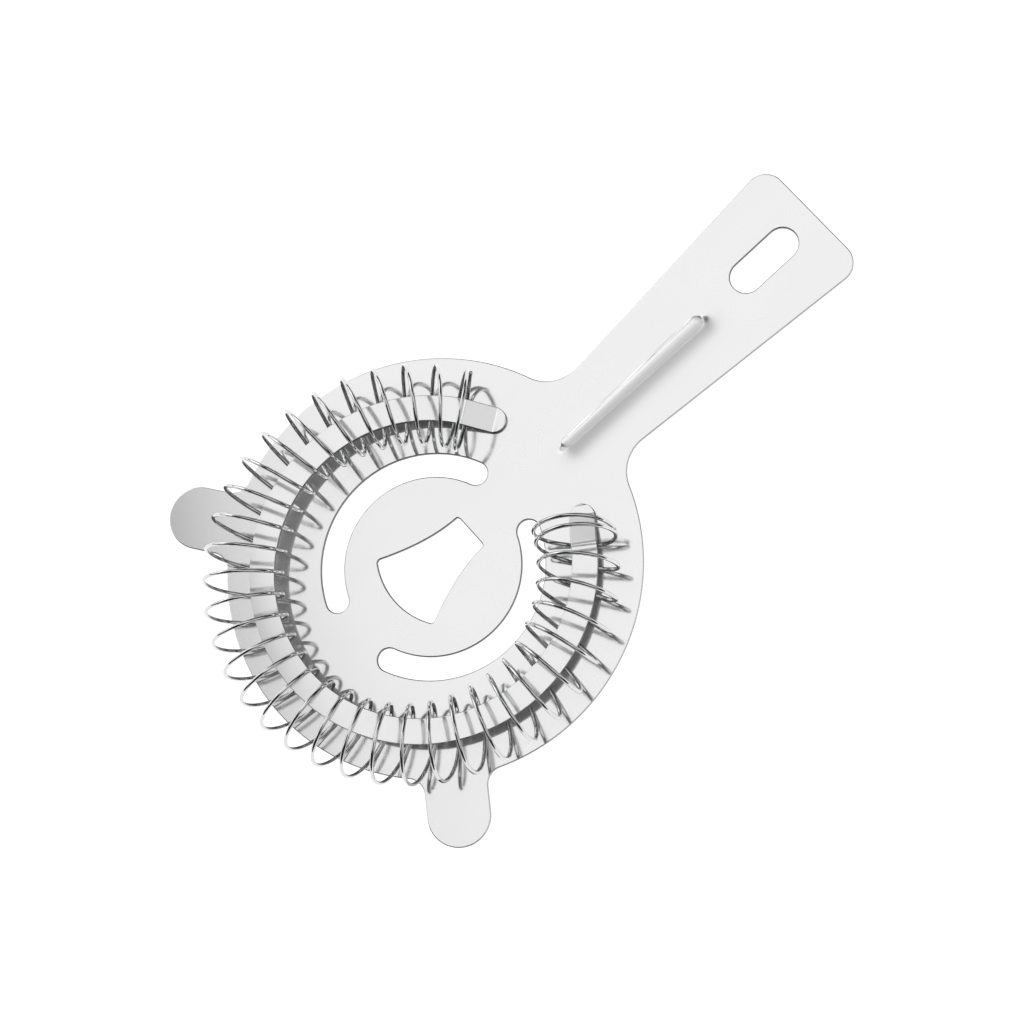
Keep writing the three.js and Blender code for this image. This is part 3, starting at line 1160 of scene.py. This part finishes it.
@dataclass
class CoilSpring:
    """The wire coil threaded on the strap, bent round a ring, its ends wound close."""

    drawing: Drawing
    finish: DrawnWire
    sheet: float = 1.0
    ring_radius: float = 33.8
    ring_x: float = -3.8
    turn_radius: float = 7.8
    wire: float = 0.8
    gap: float = 0.3
    active_turns: float = 33.0
    end_turns: float = 1.0
    end_pitch: float = 0.82
    end_angle: float = 31.2
    lean_mean: float = 0.5
    lean_ends: float = 4.5
    lean_back: float = 3.0
    tip: float = 2.7
    tip_power: int = 9
    steps: int = 48
    sides: int = 12
    cap_reach: float = 0.12
    cap_share: float = 0.72
    still_reach: float = 4.0

    def build(self) -> bpy.types.Object:
        """Build and dress the spring.

        Returns:
            The piece.
        """
        line = self._centre_line()
        rings, along, around = self._rings(line)
        faces = sweep(rings)
        piece = make_object("coil_spring_visual", self.drawing.metres(rings.reshape(-1, 3)), faces,
                            self.finish.material())
        store(piece, Mark.ALONG, along)
        store(piece, Mark.AROUND, around)
        piece.data.polygons.foreach_set("use_smooth", [True] * len(piece.data.polygons))
        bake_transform(piece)
        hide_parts("coil_spring")
        return piece

    def _ring_angle(self, turn: np.ndarray) -> np.ndarray:
        """Angle round the ring after so many turns.

        Args:
            turn: number of turns from the first end.

        Returns:
            The angles in radians.
        """
        total = self.active_turns + 2 * self.end_turns
        close = self.end_turns * self.end_pitch / (self.ring_radius + self.turn_radius)
        first = math.radians(self.end_angle)
        last = TURN - first
        marks = [0.0, self.end_turns, total - self.end_turns, total]
        return np.interp(turn, marks, [first, first + close, last - close, last])

    def _close_lean(self) -> float:
        """Lean, in degrees a turn, that keeps a close turn parallel to its neighbour."""
        inner, outer = self.ring_radius - self.turn_radius, self.ring_radius + self.turn_radius
        return math.degrees(self.end_pitch / inner - self.end_pitch / outer)

    def _centre_line(self) -> Points:
        """Middle of the wire.

        Returns:
            Rows of x, y, z.
        """
        total = self.active_turns + 2 * self.end_turns
        turn = np.linspace(0.0, total, int(total * self.steps) + 1)
        phase = -TURN * turn
        share = math.pi * turn / total
        lean = self.lean_mean - self.lean_ends * np.cos(share) + self.lean_back * np.sin(share)
        lean = lean + self._close_lean() * (np.clip(turn - total + self.end_turns, 0.0, None)
                                            - np.clip(self.end_turns - turn, 0.0, None))
        tip = self.tip * np.cos(share) ** self.tip_power * np.sin(phase)
        around = self._ring_angle(turn) + np.radians(lean * (1.0 - np.cos(phase)) / 2 - tip)
        reach = self.ring_radius + self.turn_radius * np.cos(phase)
        height = self.sheet + self.gap + self.wire / 2 + self.turn_radius
        return np.column_stack([self.ring_x + reach * np.cos(around), reach * np.sin(around),
                                height + self.turn_radius * np.sin(phase)])

    def _rings(self, line: Points) -> tuple[Points, np.ndarray, np.ndarray]:
        """Round sections along the wire, with its cut ends slightly rounded.

        Args:
            line: rows of x, y, z.

        Returns:
            The rings, and the distance along and around the wire of each point.
        """
        tangent = unit(np.gradient(line, axis=0))
        normal = np.cross(tangent[0], [0.0, 0.0, 1.0])
        normals = []
        for direction in tangent:
            normal = unit(normal - direction * (normal @ direction))
            normals.append(normal)
        frame_n = np.array(normals)
        frame_b = np.cross(tangent, frame_n)
        angles = np.arange(self.sides) * TURN / self.sides
        radius = self.wire / 2
        circle = (np.cos(angles)[None, :, None] * frame_n[:, None, :]
                  + np.sin(angles)[None, :, None] * frame_b[:, None, :])
        rings = line[:, None, :] + circle * radius
        small = circle * (radius * self.cap_share)
        start = line[0] - tangent[0] * self.cap_reach + small[0]
        finish = line[-1] + tangent[-1] * self.cap_reach + small[-1]
        rings = np.concatenate([start[None], rings, finish[None]])
        length = np.concatenate([[0.0], np.cumsum(np.linalg.norm(np.diff(line, axis=0), axis=1))])
        length = np.concatenate([[0.0], length, [length[-1]]]) * MM
        along = np.repeat(length, self.sides)
        around = np.tile(np.abs(np.linspace(-1.0, 1.0, self.sides)), len(rings))
        return rings, along, around


# ---- Studio --------------------------------------------------------------------------


@dataclass(frozen=True)
class SoftPatch:
    """A round soft-edged bright area of the surroundings."""

    towards: Triple
    inner: float
    outer: float
    strength: float

    def glow(self, book: NodeBook, direction: bpy.types.NodeSocket) -> Value:
        """Brightness that the patch adds in each direction.

        Args:
            book: the surroundings' nodes.
            direction: the direction looked in.

        Returns:
            The brightness.
        """
        along = Vector(self.towards).normalized()
        facing = book.value("ShaderNodeVectorMath", {"operation": "DOT_PRODUCT"},
                            {0: direction, 1: tuple(along)}, "Value")
        edge, full = (math.cos(math.radians(a)) for a in (self.outer, self.inner))
        return facing.smooth(edge, full) * self.strength


@dataclass(frozen=True)
class SoftBox:
    """A rectangular lamp aimed at the strainer."""

    name: str
    place: Triple
    size: tuple[float, float]
    brightness: float

    def build(self) -> None:
        """Add the lamp."""
        data = bpy.data.lights.new(self.name, "AREA")
        data.shape = "RECTANGLE"
        data.size, data.size_y = self.size
        data.energy = self.brightness * math.pi * self.size[0] * self.size[1]
        lamp = bpy.data.objects.new(self.name, data)
        lamp.location = self.place
        lamp.rotation_euler = (-Vector(self.place)).to_track_quat("-Z", "Y").to_euler()
        bpy.context.scene.collection.objects.link(lamp)


@dataclass
class Studio:
    """Pale floor, soft lights and the camera."""

    drawing: Drawing
    aim: Triple = (18.993, -2.874, 1.0)
    towards_camera: Triple = (0.0266, -0.2563, 0.9662)
    image_up: Triple = (0.6632, 0.7484, 0.0)
    distance: float = 0.594
    lens: float = 105.1
    sensor: float = 36.0
    floor_size: float = 12.0
    floor_drop: float = 0.1 * MM
    backdrop: float = 0.9
    dim: float = 0.03
    fill: float = 0.55
    patches: tuple[SoftPatch, ...] = (
        SoftPatch((0.12, 0.17, 0.98), 13.3, 18.5, 1.12),
        SoftPatch((0.0, 0.80, 0.60), 12.0, 30.0, 0.6),
        SoftPatch((0.38, -0.48, 0.79), 12.0, 40.0, 0.85),
        SoftPatch((0.40, 0.75, 0.53), 8.0, 14.0, 0.35),
    )
    boxes: tuple[SoftBox, ...] = (
        SoftBox("key_soft_box", (-0.42, 0.80, 0.42), (1.2, 0.7), 1.3),
    )

    def build(self) -> None:
        """Set up the whole studio."""
        self._camera()
        self._floor()
        self._surroundings()
        for box in self.boxes:
            box.build()
        bpy.context.scene.view_settings.view_transform = "Standard"

    def _camera(self) -> None:
        """Place the camera on its line of sight, turned so that the handle points up right."""
        back = Vector(self.towards_camera).normalized()
        up = Vector(self.image_up)
        up = (up - back * up.dot(back)).normalized()
        right = up.cross(back)
        aim = Vector(self.drawing.metres([self.aim])[0])
        turn = Matrix((right, up, back)).transposed().to_4x4()
        data = bpy.data.cameras.new("camera")
        data.lens = self.lens
        data.sensor_width = self.sensor
        data.clip_start = 0.01
        camera = bpy.data.objects.new("camera", data)
        camera.matrix_world = Matrix.Translation(aim + back * self.distance) @ turn
        bpy.context.scene.collection.objects.link(camera)
        bpy.context.scene.camera = camera

    def _floor(self) -> None:
        """A wide flat floor under the strainer."""
        half = self.floor_size / 2
        low = -self.floor_drop
        sides = ((-half, -half), (half, -half), (half, half), (-half, half))
        points = np.array([(x, y, low) for x, y in sides])
        make_object("floor", points, [(0, 1, 2, 3)], PaleFloor().material())

    def _surroundings(self) -> None:
        """Soft bright areas and a pale backdrop, with a fill that only matt surfaces gather."""
        world = bpy.data.worlds.new("studio")
        bpy.context.scene.world = world
        book = NodeBook(world)
        white = (1.0, 1.0, 1.0)
        direction = book.node("ShaderNodeTexCoord").outputs["Generated"]
        rays = book.node("ShaderNodeLightPath").outputs
        glow: Operand = Value(book, rays["Is Diffuse Ray"]) * self.fill + self.dim
        for patch in self.patches:
            glow = patch.glow(book, direction) + glow
        room = book.node("ShaderNodeBackground", None, {"Color": white, "Strength": glow})
        pale = book.node("ShaderNodeBackground", None, {"Color": white, "Strength": self.backdrop})
        seen = Value(book, rays["Is Camera Ray"])
        book.surface(book.blend_shaders(seen, room.outputs[0], pale.outputs[0]))


# ---- Assembly ------------------------------------------------------------------------


def corners(bounds: Any) -> list[list[float]]:
    """A box as two plain lists, lowest and highest corner."""
    return [[float(x) for x in corner] for corner in bounds]


def main() -> None:
    """Build every piece round the frame, in order."""
    logging.basicConfig(level=logging.INFO, format="%(name)s: %(message)s")
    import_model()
    _, plate_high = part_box("strainer_plate")
    middle = Vector((plate_high.x - StrainerPlate.handle_end * MM, 0.0, 0.0))
    drawing = Drawing(middle)

    Studio(drawing).build()
    carrier = SpringCarrier(drawing, SatinSteel("strap_steel", gloss=0.08, haze_share=0.30))
    satin = SatinSteel("plate_steel", welds=tuple(carrier.feet()))
    makers: list[Callable[[], bpy.types.Object]] = [
        StrainerPlate(drawing, satin).build,
        carrier.build,
        CoilSpring(drawing, DrawnWire("spring_wire")).build,
    ]
    for make in makers:
        piece = make()
        LOG.info("%s: %d faces", piece.name, len(piece.data.polygons))


if __name__ == "__main__":
    main()
